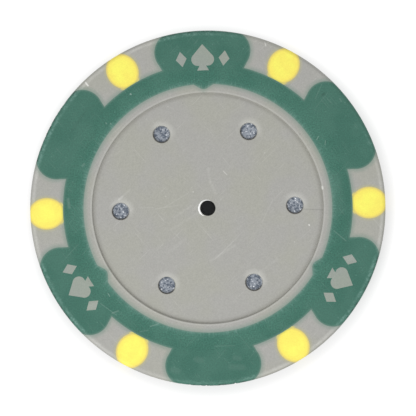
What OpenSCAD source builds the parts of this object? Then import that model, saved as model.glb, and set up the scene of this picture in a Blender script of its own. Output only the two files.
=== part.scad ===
// Moulded casino chip with a steel slug, in four materials and without its paper labels.
// Frame: millimetres, +Z along the chip's axis, origin at the centre of the lower face,
// and +Y through the middle of the first marked lobe. Both faces are alike.

/* [Chip] */
// Diameter over the rim
chip_d = 39; // [38:0.5:42]
// Thickness over the two raised lands
chip_t = 3.3; // [3.1:0.1:4]
// Radius of the rounded edge between the rim and each face
edge_r = 0.45; // [0.2:0.05:0.6]

/* [Label recess] */
// Diameter of the paper label that the recess is made for
label_d = 25; // [23:0.5:25.5]
// Clearance round the label, at the floor of the recess
label_gap = 0.12; // [0.05:0.01:0.2]
// Depth of the recess below the land
recess_depth = 0.25; // [0.15:0.05:0.3]
// How far the recess wall leans outwards from its floor to its mouth
recess_draft = 0.08; // [0.02:0.01:0.15]
// Radius of the hollow corner where the recess floor runs into its wall
recess_corner_r = 0.08; // [0.03:0.01:0.1]
// Radius of the rounded lip where the recess wall meets the land
recess_lip_r = 0.14; // [0.05:0.01:0.15]

/* [Steel slug] */
// Diameter of the slug
slug_d = 26.4; // [24:0.2:27]
// Thickness of the slug
slug_t = 1.8; // [1.2:0.1:1.9]
// Bevel that the punch leaves round the slug's edges
slug_bevel = 0.2; // [0.1:0.05:0.3]
// Clearance between the slug's hole and the mould's centre pin
slug_pin_gap = 0.03; // [0.01:0.01:0.08]

/* [Grey body] */
// Diameter of the hole that the mould's centre pin leaves
centre_hole_d = 1.69; // [1.4:0.05:2]
// Number of support pins that hold the slug from each side
pin_count = 6; // [3:1:8]
// Diameter of the circle that the support pins stand on
pin_circle_d = 19.14; // [16:0.2:20]
// Diameter of a support pin's hole where it meets the slug
pin_foot_d = 1.78; // [1.4:0.05:1.9]
// Diameter of a support pin's hole at its mouth, below the rounded lip
pin_mouth_d = 1.92; // [1.9:0.05:2.4]
// Radius of the rounded lip round a support pin's hole
pin_lip_r = 0.08; // [0.03:0.01:0.12]
// Height of the burr beside the centre hole
burr_h = 0.1; // [0.05:0.01:0.15]
// Greatest width of the burr, on the side where it is raised
burr_w = 0.25; // [0.15:0.05:0.3]
// How far the burr's foot circle is set off from the hole's axis
burr_shift = 0.2; // [0.18:0.01:0.25]

/* [Green inlay] */
// Width of the grey land between the label recess and the green ring
land_w = 0.95; // [0.8:0.05:1.2]
// Width of the green ring
ring_w = 2.25; // [2:0.05:2.6]
// Grey that is left between the inlay's floor and the level of the slug's face
inlay_cover = 0.05; // [0.05:0.05:0.2]
// How deep the lobes wrap the rim, where they run from face to face
rim_wrap = 1.2; // [0.8:0.1:1.5]
// Distance from a lobe's middle line to the centre of one of its round sides
lobe_side_x = 3.03; // [2.6:0.05:3.2]
// How far a lobe's round side runs in under the ring
lobe_under = 0.95; // [0.8:0.05:1.2]
// How far a lobe's round side stays short of the rim
lobe_short = 0.05; // [0.02:0.01:0.1]
// Distance from a lobe's middle line to its straight foot, at the middle of the ring
lobe_foot_x = 4.24; // [4.1:0.02:4.4]
// Turn from the cross line to where a lobe's straight foot leaves its round side
lobe_foot_turn = 29; // [24:1:34]
// Width of the pointed bump on the ring's inner edge, below a marked lobe
bump_w = 2.36; // [1.8:0.05:2.6]
// Height of the bump
bump_h = 0.57; // [0.45:0.01:0.6]
// Width of the bump at its shoulder, where its rounded tip starts
bump_shoulder_w = 1; // [0.8:0.05:1.2]
// Height of the bump's shoulder
bump_shoulder_h = 0.4; // [0.3:0.01:0.42]

/* [Card pips] */
// Height of the spade, from its foot to its tip
spade_h = 2.9; // [2.4:0.1:3.1]
// Width of the spade over its two round cheeks
spade_w = 2.5; // [2.2:0.1:2.8]
// Width of the spade's foot
spade_foot_w = 1.3; // [1:0.1:1.5]
// Width of the spade's stem at its narrowest
spade_stem_w = 0.36; // [0.3:0.02:0.5]
// Height of a small diamond
diamond_h = 1.7; // [1.4:0.1:1.9]
// Width of a small diamond
diamond_w = 1.2; // [1:0.1:1.3]
// Distance from the spade's middle line to the middle of a diamond
diamond_x = 2.35; // [2.2:0.05:2.5]

/* [Yellow spots] */
// How far a spot's round sides would run past the band at either end
spot_over = 0.35; // [0.25:0.05:0.5]
// Distance from a spot's middle line to the centre of the side that bulges the other way
spot_side_x = 0.4; // [0.3:0.02:0.5]

/* [Hidden] */
$fn = 128;

// How far a cut runs past the faces and the rim
overrun = 0.5;

// Radii that follow from the sizes above
chip_r = chip_d / 2;
recess_r = label_d / 2 + label_gap;
recess_mouth_r = recess_r + recess_draft;
recess_lean = atan(recess_draft / recess_depth);
ring_inner_r = recess_mouth_r + land_w;
ring_outer_r = ring_inner_r + ring_w;
ring_middle_r = ring_inner_r + ring_w / 2;
web_r = chip_r - rim_wrap;
lobe_middle_r = (ring_inner_r + chip_r) / 2;
slug_r = slug_d / 2;
centre_hole_r = centre_hole_d / 2;
slug_hole_r = centre_hole_r + slug_pin_gap;

// Band between the ring and the rim, and what fills it: the lobes' round sides and the spots
band_w = chip_r - ring_outer_r;
band_middle_r = ring_outer_r + band_w / 2;
lobe_side_r = (band_w + lobe_under - lobe_short) / 2;
lobe_side_y = chip_r - lobe_short - lobe_side_r;
spot_side_r = band_w / 2 + spot_over;

// Levels that follow from the sizes above, the slug lying in the middle of the thickness
slug_z = (chip_t - slug_t) / 2;
inlay_depth = slug_z - inlay_cover;
skin_t = slug_z - recess_depth;
burr_root = skin_t / 2;

// Lobes round the chip, every second one marked, with one yellow spot between each two
lobe_count = 6;
lobe_step = 360 / lobe_count;
gap_turn = lobe_step / 2;

// How far out in a lobe's round side its straight foot starts, as a share of the side's radius
lobe_foot_share = 0.99;

// Most that the recess's corner and lip may take of its depth, as shares that leave a wall
recess_corner_share = 0.4;
recess_lip_share = 0.6;

// Heights on the spade, as shares of its height from foot to tip
spade_cheek_share = 0.42;
spade_notch_share = 0.3;
// Radius of a cheek, as a share of the spade's width
spade_cheek_r_share = 0.28;
// Where the spade's sides leave its cheeks, as shares of a cheek's radius
spade_side_x_share = 0.86;
spade_side_y_share = 0.51;

// What both faces have, cut or added at the upper face and again at the lower one
module on_both_faces() {
    children();
    translate([0, 0, chip_t])
        mirror([0, 0, 1])
            children();
}

// Chip in one piece, with the rim's rounded edges and nothing cut into it
module blank() {
    rotate_extrude()
        blank_profile();
}

// Half section of the blank: two crossed rectangles, with a circle in each outer corner
module blank_profile() {
    square([chip_r - edge_r, chip_t]);
    translate([0, edge_r])
        square([chip_r, chip_t - 2 * edge_r]);
    for (z = [edge_r, chip_t - edge_r])
        translate([chip_r - edge_r, z])
            circle(r = edge_r);
}

// Half section of the slug from inner_r outwards, bevelled at its outer edges
module slug_profile(inner_r) {
    top = slug_z + slug_t;
    polygon([
        [inner_r, slug_z],
        [slug_r - slug_bevel, slug_z],
        [slug_r, slug_z + slug_bevel],
        [slug_r, top - slug_bevel],
        [slug_r - slug_bevel, top],
        [inner_r, top]
    ]);
}

// Outline of one lobe, pointing along +Y and running past the rim
module lobe_outline() {
    foot_reach = lobe_side_r * lobe_foot_share;
    foot_top_x = lobe_side_x + foot_reach * cos(lobe_foot_turn);
    foot_top_y = lobe_side_y - foot_reach * sin(lobe_foot_turn);
    outer_y = chip_r + overrun;
    for (side = [-1, 1])
        translate([side * lobe_side_x, lobe_side_y])
            circle(r = lobe_side_r);
    polygon([
        [-lobe_foot_x, ring_middle_r],
        [lobe_foot_x, ring_middle_r],
        [foot_top_x, foot_top_y],
        [lobe_side_x, lobe_side_y],
        [lobe_side_x, outer_y],
        [-lobe_side_x, outer_y],
        [-lobe_side_x, lobe_side_y],
        [-foot_top_x, foot_top_y]
    ]);
}

// Outline of the pointed bump with its rounded tip, on the ring's inner edge at +Y
module bump_outline() {
    tip_h = bump_h - bump_shoulder_h;
    half_w = bump_shoulder_w / 2;
    tip_r = (half_w * half_w + tip_h * tip_h) / (2 * tip_h);
    translate([0, ring_inner_r]) {
        polygon([
            [-bump_w / 2, 0],
            [-half_w, -bump_shoulder_h],
            [half_w, -bump_shoulder_h],
            [bump_w / 2, 0],
            [bump_w / 2, ring_w / 2],
            [-bump_w / 2, ring_w / 2]
        ]);
        translate([0, tip_r - bump_h])
            circle(r = tip_r);
    }
}

// Outline of a spade, its foot at the origin and its tip along +Y
module spade_outline() {
    cheek_r = spade_w * spade_cheek_r_share;
    cheek_x = spade_w / 2 - cheek_r;
    cheek_y = spade_h * spade_cheek_share;
    side_x = cheek_x + cheek_r * spade_side_x_share;
    side_y = cheek_y + cheek_r * spade_side_y_share;
    notch_y = spade_h * spade_notch_share;
    for (side = [-1, 1])
        translate([side * cheek_x, cheek_y])
            circle(r = cheek_r);
    polygon([
        [0, notch_y],
        [side_x, side_y],
        [0, spade_h],
        [-side_x, side_y]
    ]);
    polygon([
        [-spade_foot_w / 2, 0],
        [spade_foot_w / 2, 0],
        [spade_stem_w / 2, notch_y],
        [spade_stem_w / 2, cheek_y],
        [-spade_stem_w / 2, cheek_y],
        [-spade_stem_w / 2, notch_y]
    ]);
}

// Outline of a diamond about the origin
module diamond_outline() {
    polygon([
        [diamond_w / 2, 0],
        [0, diamond_h / 2],
        [-diamond_w / 2, 0],
        [0, -diamond_h / 2]
    ]);
}

// The three card pips in the middle of one marked lobe, each pointing away from the centre
module pips_outline() {
    diamond_turn = asin(diamond_x / lobe_middle_r);
    translate([0, lobe_middle_r - spade_h / 2])
        spade_outline();
    for (side = [-1, 1])
        rotate(side * diamond_turn)
            translate([0, lobe_middle_r])
                diamond_outline();
}

// Everything green as seen on a face: the ring, the lobes and the bumps, less the pips
module inlay_outline() {
    difference() {
        union() {
            difference() {
                circle(r = ring_outer_r);
                circle(r = ring_inner_r);
            }
            for (lobe = [0 : lobe_count - 1])
                rotate(lobe * lobe_step)
                    lobe_outline();
            for (lobe = [0 : 2 : lobe_count - 1])
                rotate(lobe * lobe_step)
                    bump_outline();
        }
        for (lobe = [0 : 2 : lobe_count - 1])
            rotate(lobe * lobe_step)
                pips_outline();
    }
}

// Room that the green shot fills: shallow in each face, and through at the rim
module inlay_room() {
    difference() {
        translate([0, 0, -overrun])
            linear_extrude(chip_t + 2 * overrun)
                inlay_outline();
        translate([0, 0, inlay_depth])
            cylinder(r = web_r, h = chip_t - 2 * inlay_depth);
    }
}

// Room that one yellow spot fills in the gap after a lobe, its foot running under the ring
module spot_room(place) {
    rotate(gap_turn + place * lobe_step)
        translate([0, band_middle_r, -overrun])
            linear_extrude(chip_t + 2 * overrun)
                intersection_for (side = [-1, 1])
                    translate([side * spot_side_x, 0])
                        circle(r = spot_side_r);
}

// Everything inside the green ring's outer wall, as deep as the inlay goes into a face
module ring_side() {
    translate([0, 0, -overrun])
        cylinder(r = ring_outer_r, h = inlay_depth + overrun);
}

// Half section of a round pocket that goes down from height 0. Its wall leans outwards by
// an angle, up to mouth_r, and is rounded over there to meet the face.
module pocket_profile(mouth_r, depth, lean, lip_r) {
    lip_x = mouth_r + lip_r * tan(45 - lean / 2);
    difference() {
        polygon([
            [0, overrun],
            [0, -depth],
            [mouth_r - depth * tan(lean), -depth],
            [lip_x - lip_r * cos(lean), lip_r * sin(lean) - lip_r],
            [lip_x, -lip_r],
            [lip_x, overrun]
        ]);
        translate([lip_x, -lip_r])
            circle(r = lip_r);
    }
}

// Half section of what fills the recess's corner, so that the floor curves up into the wall
module corner_profile() {
    corner_r = min(recess_corner_r, recess_depth * recess_corner_share);
    reach = corner_r + overrun;
    translate([recess_r - corner_r * tan(45 - recess_lean / 2), corner_r - recess_depth])
        difference() {
            polygon([
                [0, 0],
                [0, -reach],
                [reach * cos(recess_lean), -reach * sin(recess_lean)]
            ]);
            circle(r = corner_r);
        }
}

// Label recess, cut in from the lower face
module recess_cut() {
    lip_r = min(recess_lip_r, recess_depth * recess_lip_share);
    mirror([0, 0, 1])
        rotate_extrude()
            difference() {
                pocket_profile(recess_mouth_r, recess_depth, recess_lean, lip_r);
                corner_profile();
            }
}

// Tapered holes of the support pins, from the recess floor of the lower face into the slug
module pin_cuts() {
    lean = atan((pin_mouth_d - pin_foot_d) / 2 / skin_t);
    for (place = [0 : pin_count - 1])
        rotate(place * 360 / pin_count)
            translate([pin_circle_d / 2, 0, recess_depth])
                mirror([0, 0, 1])
                    rotate_extrude()
                        pocket_profile(pin_mouth_d / 2, skin_t + overrun, lean, pin_lip_r);
}

// Burr on one side of the centre hole, on the recess floor of the upper face
module burr() {
    foot_r = centre_hole_r + burr_w - burr_shift;
    translate([-burr_shift, 0, chip_t - recess_depth - burr_root])
        cylinder(
            r1 = foot_r + burr_root,
            r2 = foot_r - burr_h,
            h = burr_h + burr_root
        );
}

// Stamped steel disc that gives the chip its weight
module steel_slug() {
    color("slategray")
        rotate_extrude()
            slug_profile(slug_hole_r);
}

// First shot, moulded round the slug: centre, web under the ring, pips and rim sections
module grey_body() {
    color([0.67, 0.67, 0.65])
        difference() {
            union() {
                difference() {
                    blank();
                    on_both_faces()
                        recess_cut();
                }
                burr();
            }
            rotate_extrude()
                slug_profile(0);
            on_both_faces()
                pin_cuts();
            inlay_room();
            for (place = [0 : lobe_count - 1])
                spot_room(place);
            translate([0, 0, -overrun])
                cylinder(r = centre_hole_r, h = chip_t + 2 * overrun);
        }
}

// Second shot: a ring in each face, joined round the rim by the lobes
module green_inlay() {
    color([0.28, 0.46, 0.41])
        intersection() {
            blank();
            inlay_room();
        }
}

// Third shot: one of the spots that fill the rim between two lobes
module yellow_spot(place) {
    color([0.99, 0.95, 0.44])
        difference() {
            intersection() {
                blank();
                spot_room(place);
            }
            on_both_faces()
                ring_side();
        }
}

steel_slug();
grey_body();
green_inlay();
yellow_spot(0);  // yellow_spot_1
yellow_spot(1);  // yellow_spot_2
yellow_spot(2);  // yellow_spot_3
yellow_spot(3);  // yellow_spot_4
yellow_spot(4);  // yellow_spot_5
yellow_spot(5);  // yellow_spot_6
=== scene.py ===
"""Looks of a moulded casino chip whose paper labels are off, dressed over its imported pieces.

Frame: metres, +Z along the chip's axis, origin at the centre of the lower face, and +Y
through the middle of the first marked lobe. Every moulded piece is a merged and smoothed
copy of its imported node, so that it lies exactly where the node lies.
"""

import logging
import math
import random
from dataclasses import dataclass
from enum import Enum
from functools import partial, reduce
from typing import Iterable, Protocol, Sequence, Union

import bmesh
import bpy
from mathutils import Matrix, Vector


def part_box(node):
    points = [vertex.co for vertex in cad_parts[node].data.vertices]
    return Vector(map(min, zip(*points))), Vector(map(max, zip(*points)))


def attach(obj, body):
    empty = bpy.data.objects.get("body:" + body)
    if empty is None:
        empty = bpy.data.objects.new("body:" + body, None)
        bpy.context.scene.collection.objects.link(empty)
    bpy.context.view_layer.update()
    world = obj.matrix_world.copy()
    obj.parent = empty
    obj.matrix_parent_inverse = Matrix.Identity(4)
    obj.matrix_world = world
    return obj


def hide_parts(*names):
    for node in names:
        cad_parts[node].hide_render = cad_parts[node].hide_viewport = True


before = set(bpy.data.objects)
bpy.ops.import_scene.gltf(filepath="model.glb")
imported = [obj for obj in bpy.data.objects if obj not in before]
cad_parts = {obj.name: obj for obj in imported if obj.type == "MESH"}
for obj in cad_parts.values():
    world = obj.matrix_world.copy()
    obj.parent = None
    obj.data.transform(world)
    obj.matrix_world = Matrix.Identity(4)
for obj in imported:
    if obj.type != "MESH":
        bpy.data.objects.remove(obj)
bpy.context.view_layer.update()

LOG = logging.getLogger("casino_chip")
MM = 0.001
BODY = "root"
LEVEL = (1.0, 1.0, 0.0)
WHITE = (1.0, 1.0, 1.0)

Colour = tuple[float, float, float]
Point = tuple[float, float]
Triple = tuple[float, float, float]
Socket = bpy.types.NodeSocket
Node = bpy.types.Node
Sockets = dict[str, Socket]
Outputs = bpy.types.bpy_prop_collection
Value = Union[float, Sequence[float], Socket]


class Slot(Enum):
    """Names of the material slots that the pieces are listed with."""

    SLUG = "slug_steel"
    GREY = "grey_plastic"
    GREEN = "green_plastic"
    YELLOW = "yellow_plastic"


class Tint(Enum):
    """How a mark on the plastic differs from what is round it."""

    PALE = "pale"
    DARK = "dark"


@dataclass(frozen=True)
class ChipSizes:
    """Sizes that the finishes are laid out by, in metres.

    The first two are measured on the green piece, and the others are the sizes that the
    pieces were modelled to.
    """

    rim_r: float
    thickness: float
    recess_depth: float = 0.25 * MM
    recess_r: float = 12.66 * MM
    hole_r: float = 0.845 * MM
    pin_circle_r: float = 9.57 * MM
    pin_r: float = 0.96 * MM
    pin_count: int = 6
    ring_inner_r: float = 13.65 * MM
    ring_outer_r: float = 15.9 * MM
    lobe_side_x: float = 3.03 * MM
    lobe_side_r: float = 2.25 * MM
    lobe_short: float = 0.05 * MM
    lobe_foot_x: float = 4.24 * MM
    lobe_foot_turn: float = math.radians(29)
    lobe_foot_share: float = 0.99
    notch_r: float = 0.3 * MM
    bump_half_w: float = 1.18 * MM
    bump_h: float = 0.57 * MM
    spot_side_x: float = 0.4 * MM
    spot_side_r: float = 2.15 * MM
    lobe_count: int = 6

    @classmethod
    def measured(cls) -> "ChipSizes":
        """Takes the overall sizes from the green piece, whose first lobe reaches the rim on +Y.

        Returns:
            The sizes of this chip.
        """
        low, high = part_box("green_inlay")
        return cls(rim_r=high.y, thickness=high.z - low.z)

    @property
    def recess_floor(self) -> float:
        """Height of the upper recess floor."""
        return self.thickness - self.recess_depth

    @property
    def ring_middle(self) -> float:
        """Radius of the green ring's middle line."""
        return (self.ring_inner_r + self.ring_outer_r) / 2

    @property
    def lobe_step(self) -> float:
        """Angle from one lobe to the next, in radians."""
        return math.tau / self.lobe_count

    @property
    def lobe_side_y(self) -> float:
        """Distance from the chip's axis to the centre of a lobe's round side, along the lobe."""
        return self.rim_r - self.lobe_short - self.lobe_side_r

    @property
    def spot_y(self) -> float:
        """Distance from the chip's axis to the middle of a yellow spot."""
        return (self.ring_outer_r + self.rim_r) / 2


def level_vector(turn: float, length: float = 1.0) -> Triple:
    """Vector that lies level and points at an angle from +X, in radians."""
    return length * math.cos(turn), length * math.sin(turn), 0.0


class Graph:
    """Short ways to add nodes to one shader tree and to join them."""

    def __init__(self, tree: bpy.types.NodeTree) -> None:
        """Keeps the tree that the nodes go into."""
        self.tree = tree

    @classmethod
    def emptied(cls, owner: Union[bpy.types.Material, bpy.types.World]) -> "Graph":
        """Clears the tree of a material or a world.

        Args:
            owner: The material or the world.

        Returns:
            Its graph, with no node in it.
        """
        owner.use_nodes = True
        owner.node_tree.nodes.clear()
        return cls(owner.node_tree)

    def put(self, socket: Socket, value: Value) -> None:
        """Links a socket to an output, or writes a constant on it.

        Args:
            socket: The input to fill.
            value: An output socket, a number, a colour or a vector.
        """
        if isinstance(value, Socket):
            self.tree.links.new(value, socket)
        elif isinstance(value, (int, float)):
            socket.default_value = value
        elif socket.type == "RGBA":
            socket.default_value = (*value[:3], 1.0)
        else:
            socket.default_value = value

    def fill(self, node: Node, values: dict[str, Value]) -> Node:
        """Fills a node's inputs by name.

        Args:
            node: The node.
            values: What goes into each input.

        Returns:
            The same node.
        """
        for name, value in values.items():
            self.put(node.inputs[name], value)
        return node

    def add(self, kind: str, *values: Value, **settings: object) -> Node:
        """Adds a node, sets its options and fills its inputs in order.

        Args:
            kind: The node's type name, without the word ShaderNode.
            values: What goes into its inputs.
            settings: Options of the node.

        Returns:
            The new node.
        """
        node = self.tree.nodes.new("ShaderNode" + kind)
        for option, choice in settings.items():
            setattr(node, option, choice)
        for socket, value in zip(node.inputs, values):
            self.put(socket, value)
        return node

    def math(self, operation: str, *values: Value, clamp: bool = False) -> Socket:
        """Adds a Math node and returns its result."""
        return self.add("Math", *values, operation=operation, use_clamp=clamp).outputs[0]

    def times(self, first: Value, second: Value, clamp: bool = False) -> Socket:
        """Multiplies two values."""
        return self.math("MULTIPLY", first, second, clamp=clamp)

    def minus(self, first: Value, second: Value, clamp: bool = False) -> Socket:
        """Takes the second value from the first."""
        return self.math("SUBTRACT", first, second, clamp=clamp)

    def ratio(self, first: Value, second: Value, clamp: bool = False) -> Socket:
        """Divides the first value by the second."""
        return self.math("DIVIDE", first, second, clamp=clamp)

    def least(self, first: Value, second: Value) -> Socket:
        """Smaller of two values."""
        return self.math("MINIMUM", first, second)

    def most(self, first: Value, second: Value) -> Socket:
        """Larger of two values."""
        return self.math("MAXIMUM", first, second)

    def swing(self, value: Value, reach: Value, middle: Value = 1.0) -> Socket:
        """Multiplies a value round 0 by a reach and puts it round a middle."""
        return self.math("MULTIPLY_ADD", value, reach, middle)

    def hypotenuse(self, first: Value, second: Value) -> Socket:
        """Root of the sum of two squares."""
        square = self.times(first, first)
        return self.math("SQRT", self.math("MULTIPLY_ADD", second, second, square))

    def vector(self, operation: str, *values: Value) -> Socket:
        """Adds a Vector Math node and returns its vector."""
        return self.add("VectorMath", *values, operation=operation).outputs[0]

    def span(self, value: Value, start: float, end: float) -> Socket:
        """Rises smoothly from 0 where the value is at start to 1 where it is at end."""
        node = self.add("MapRange", value, start, end, 0.0, 1.0, interpolation_type="SMOOTHSTEP")
        return node.outputs[0]

    def spread(self, value: Value, low: float, high: float) -> Socket:
        """Turns a value from 0 to 1 into one from low to high."""
        return self.add("MapRange", value, 0.0, 1.0, low, high).outputs[0]

    def blend(self, share: Value, first: Value, second: Value) -> Socket:
        """Mixes two colours.

        Args:
            share: Share of the second colour, from 0 to 1.
            first: The first colour.
            second: The second colour.

        Returns:
            The mixed colour.
        """
        node = self.add("Mix", data_type="RGBA")
        self.put(node.inputs["Factor"], share)
        self.put(node.inputs[6], first)
        self.put(node.inputs[7], second)
        return node.outputs[2]

    def tinted(self, colour: Value, mask: Value, share: float, other: Value) -> Socket:
        """Mixes a share of another colour in where a mask is."""
        return self.blend(self.times(mask, share), colour, other)

    def scaled(self, vector: Value, factor: Value) -> Socket:
        """Multiplies a vector or a colour by a factor."""
        node = self.add("VectorMath", vector, operation="SCALE")
        return self.fill(node, {"Scale": factor}).outputs[0]

    def dot(self, first: Value, second: Value) -> Socket:
        """Dot product of two vectors."""
        return self.add("VectorMath", first, second, operation="DOT_PRODUCT").outputs["Value"]

    def away(self, first: Value, second: Value) -> Socket:
        """Distance between two points."""
        return self.add("VectorMath", first, second, operation="DISTANCE").outputs["Value"]

    def noise(
        self, place: Value, grain: float, detail: float = 2.0, roughness: float = 0.5
    ) -> Socket:
        """Adds a noise whose cells are about one grain wide.

        Args:
            place: Where the noise is read.
            grain: Width of a cell, in metres.
            detail: Octaves of finer noise.
            roughness: Strength of each finer octave.

        Returns:
            The noise, from 0 to 1.
        """
        node = self.add("TexNoise", noise_dimensions="3D", normalize=True)
        scale = 1 / grain
        inputs = {"Vector": place, "Scale": scale, "Detail": detail, "Roughness": roughness}
        return self.fill(node, inputs).outputs[0]

    def effect(self, kind: type["Effect"], **values: Value) -> Outputs:
        """Places a shared effect in this tree.

        Args:
            kind: The effect's class.
            values: Its inputs, with an underscore for each space in their names.

        Returns:
            The group's outputs, which are found by name.
        """
        node = self.tree.nodes.new("ShaderNodeGroup")
        node.node_tree = kind.tree()
        self.fill(node, {name.replace("_", " "): value for name, value in values.items()})
        return node.outputs


class Effect:
    """A shader node group that is built once and used by each finish that needs it."""

    name = ""
    inputs: tuple[tuple[str, str, float], ...] = ()
    outputs: tuple[str, ...] = ()

    @classmethod
    def tree(cls) -> bpy.types.NodeTree:
        """Finds the group, or builds it on first use.

        Returns:
            The finished node group.
        """
        found = bpy.data.node_groups.get(cls.name)
        if found:
            return found
        tree = bpy.data.node_groups.new(cls.name, "ShaderNodeTree")
        for name, kind, start in cls.inputs:
            socket_type = "NodeSocket" + kind
            socket = tree.interface.new_socket(name, in_out="INPUT", socket_type=socket_type)
            if kind == "Float":
                socket.default_value = start
        for name in cls.outputs:
            tree.interface.new_socket(name, in_out="OUTPUT", socket_type="NodeSocketFloat")
        entry = tree.nodes.new("NodeGroupInput")
        result = tree.nodes.new("NodeGroupOutput")
        graph = Graph(tree)
        graph.fill(result, cls.build(graph, {socket.name: socket for socket in entry.outputs}))
        return tree

    @classmethod
    def build(cls, graph: Graph, given: Sockets) -> Sockets:
        """Fills the group. Each effect has its own way.

        Args:
            graph: The group's tree.
            given: The group's inputs by name.

        Returns:
            What goes to each output, by name.
        """
        raise NotImplementedError


class ChipPlaces(Effect):
    """Where a point lies on the chip: its radius, and its distance from each colour's edge.

    A distance is negative inside the green or the yellow and positive outside it.
    """

    name = "chip_places"
    inputs = (("Vector", "Vector", 0.0),)
    outputs = ("Radius", "From Green", "From Ring", "From Spot", "From Rim")
    sizes: ChipSizes

    @classmethod
    def build(cls, graph: Graph, given: Sockets) -> Sockets:
        """Folds the angle into one lobe and measures the outlines there.

        Args:
            graph: The group's tree.
            given: The group's inputs by name.

        Returns:
            The group's outputs by name.
        """
        sizes = cls.sizes
        parts = graph.add("SeparateXYZ", given["Vector"]).outputs
        radius = graph.hypotenuse(parts[0], parts[1])
        turn = graph.math("ARCTAN2", parts[0], parts[1])
        from_lobe = graph.math("PINGPONG", turn, sizes.lobe_step / 2)
        from_mark = graph.math("PINGPONG", turn, sizes.lobe_step)
        from_middle = graph.math("ABSOLUTE", graph.minus(radius, sizes.ring_middle))
        ring = graph.minus(from_middle, (sizes.ring_outer_r - sizes.ring_inner_r) / 2)
        lobe = cls.lobe(graph, *cls.folded(graph, radius, from_lobe))
        bump = cls.bump(graph, *cls.folded(graph, radius, from_mark))
        lobed = graph.math("SMOOTH_MIN", ring, lobe, sizes.notch_r)
        from_spot = graph.minus(sizes.lobe_step / 2, from_lobe)
        across, along = cls.folded(graph, radius, from_spot)
        beside = graph.math("ADD", across, sizes.spot_side_x)
        spot = graph.hypotenuse(beside, graph.minus(along, sizes.spot_y))
        return {
            "Radius": radius,
            "From Green": graph.least(lobed, bump),
            "From Ring": graph.least(ring, bump),
            "From Spot": graph.minus(spot, sizes.spot_side_r),
            "From Rim": graph.minus(sizes.rim_r, radius),
        }

    @staticmethod
    def folded(graph: Graph, radius: Value, angle: Value) -> tuple[Socket, ...]:
        """Gives the distances across and along the middle line that the angle is from."""
        return tuple(graph.times(radius, graph.math(part, angle)) for part in ("SINE", "COSINE"))

    @classmethod
    def lobe(cls, graph: Graph, across: Value, along: Value) -> Socket:
        """Measures from the nearest lobe, whose ends run past the rim and in under the ring.

        Args:
            graph: The group's tree.
            across: Distance of the point from the lobe's middle line.
            along: Distance of the point from the chip's axis, along that line.

        Returns:
            The distance from the lobe.
        """
        sizes = cls.sizes
        beside = graph.most(graph.minus(across, sizes.lobe_side_x), 0.0)
        is_beside = graph.math("GREATER_THAN", beside, 0.0)
        outward = graph.times(graph.minus(along, sizes.lobe_side_y), is_beside)
        side = graph.minus(graph.hypotenuse(beside, outward), sizes.lobe_side_r)
        lobe = graph.least(side, cls.foot(graph, across, along))
        return graph.most(lobe, graph.minus(sizes.ring_inner_r, along))

    @classmethod
    def foot(cls, graph: Graph, across: Value, along: Value) -> Socket:
        """Measures from the straight foot with which a lobe's side runs into the ring.

        Args:
            graph: The group's tree.
            across: Distance of the point from the lobe's middle line.
            along: Distance of the point from the chip's axis, along that line.

        Returns:
            The distance from the foot.
        """
        sizes = cls.sizes
        reach = sizes.lobe_side_r * sizes.lobe_foot_share
        top_x = sizes.lobe_side_x + reach * math.cos(sizes.lobe_foot_turn)
        top_y = sizes.lobe_side_y - reach * math.sin(sizes.lobe_foot_turn)
        slope = math.atan2(top_x - sizes.lobe_foot_x, top_y - sizes.ring_middle)
        side = graph.minus(
            graph.times(graph.minus(across, top_x), math.cos(slope)),
            graph.times(graph.minus(along, top_y), math.sin(slope)),
        )
        return graph.most(side, graph.minus(along, top_y))

    @classmethod
    def bump(cls, graph: Graph, across: Value, along: Value) -> Socket:
        """Measures from the bump below a marked lobe, taken as a blunt wedge.

        Args:
            graph: The group's tree.
            across: Distance of the point from the lobe's middle line.
            along: Distance of the point from the chip's axis, along that line.

        Returns:
            The distance from the bump.
        """
        sizes = cls.sizes
        slope = math.atan2(sizes.bump_h, sizes.bump_half_w)
        side = graph.math(
            "ADD",
            graph.times(graph.minus(across, sizes.bump_half_w), math.sin(slope)),
            graph.times(graph.minus(sizes.ring_inner_r, along), math.cos(slope)),
        )
        return graph.most(side, graph.minus(along, sizes.ring_middle))


class MouldedGrain(Effect):
    """Fine grain that the spark-eroded mould leaves, with a slow change of tone under it."""

    name = "moulded_grain"
    inputs = (
        ("Vector", "Vector", 0.0),
        ("Grain", "Float", 0.14 * MM),
        ("Patch", "Float", 4.0 * MM),
    )
    outputs = ("Fine", "Slow", "Height")
    pit_grain = 0.6

    @classmethod
    def build(cls, graph: Graph, given: Sockets) -> Sockets:
        """Reads three noises at scales that follow the two inputs.

        Args:
            graph: The group's tree.
            given: The group's inputs by name.

        Returns:
            The group's outputs by name.
        """
        fine_place = graph.scaled(given["Vector"], graph.ratio(1.0, given["Grain"]))
        slow_place = graph.scaled(given["Vector"], graph.ratio(1.0, given["Patch"]))
        return {
            "Fine": graph.minus(graph.noise(fine_place, 1.0, detail=1.0), 0.5),
            "Slow": graph.span(graph.noise(slow_place, 1.0), 0.35, 0.65),
            "Height": graph.noise(fine_place, cls.pit_grain),
        }


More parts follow.
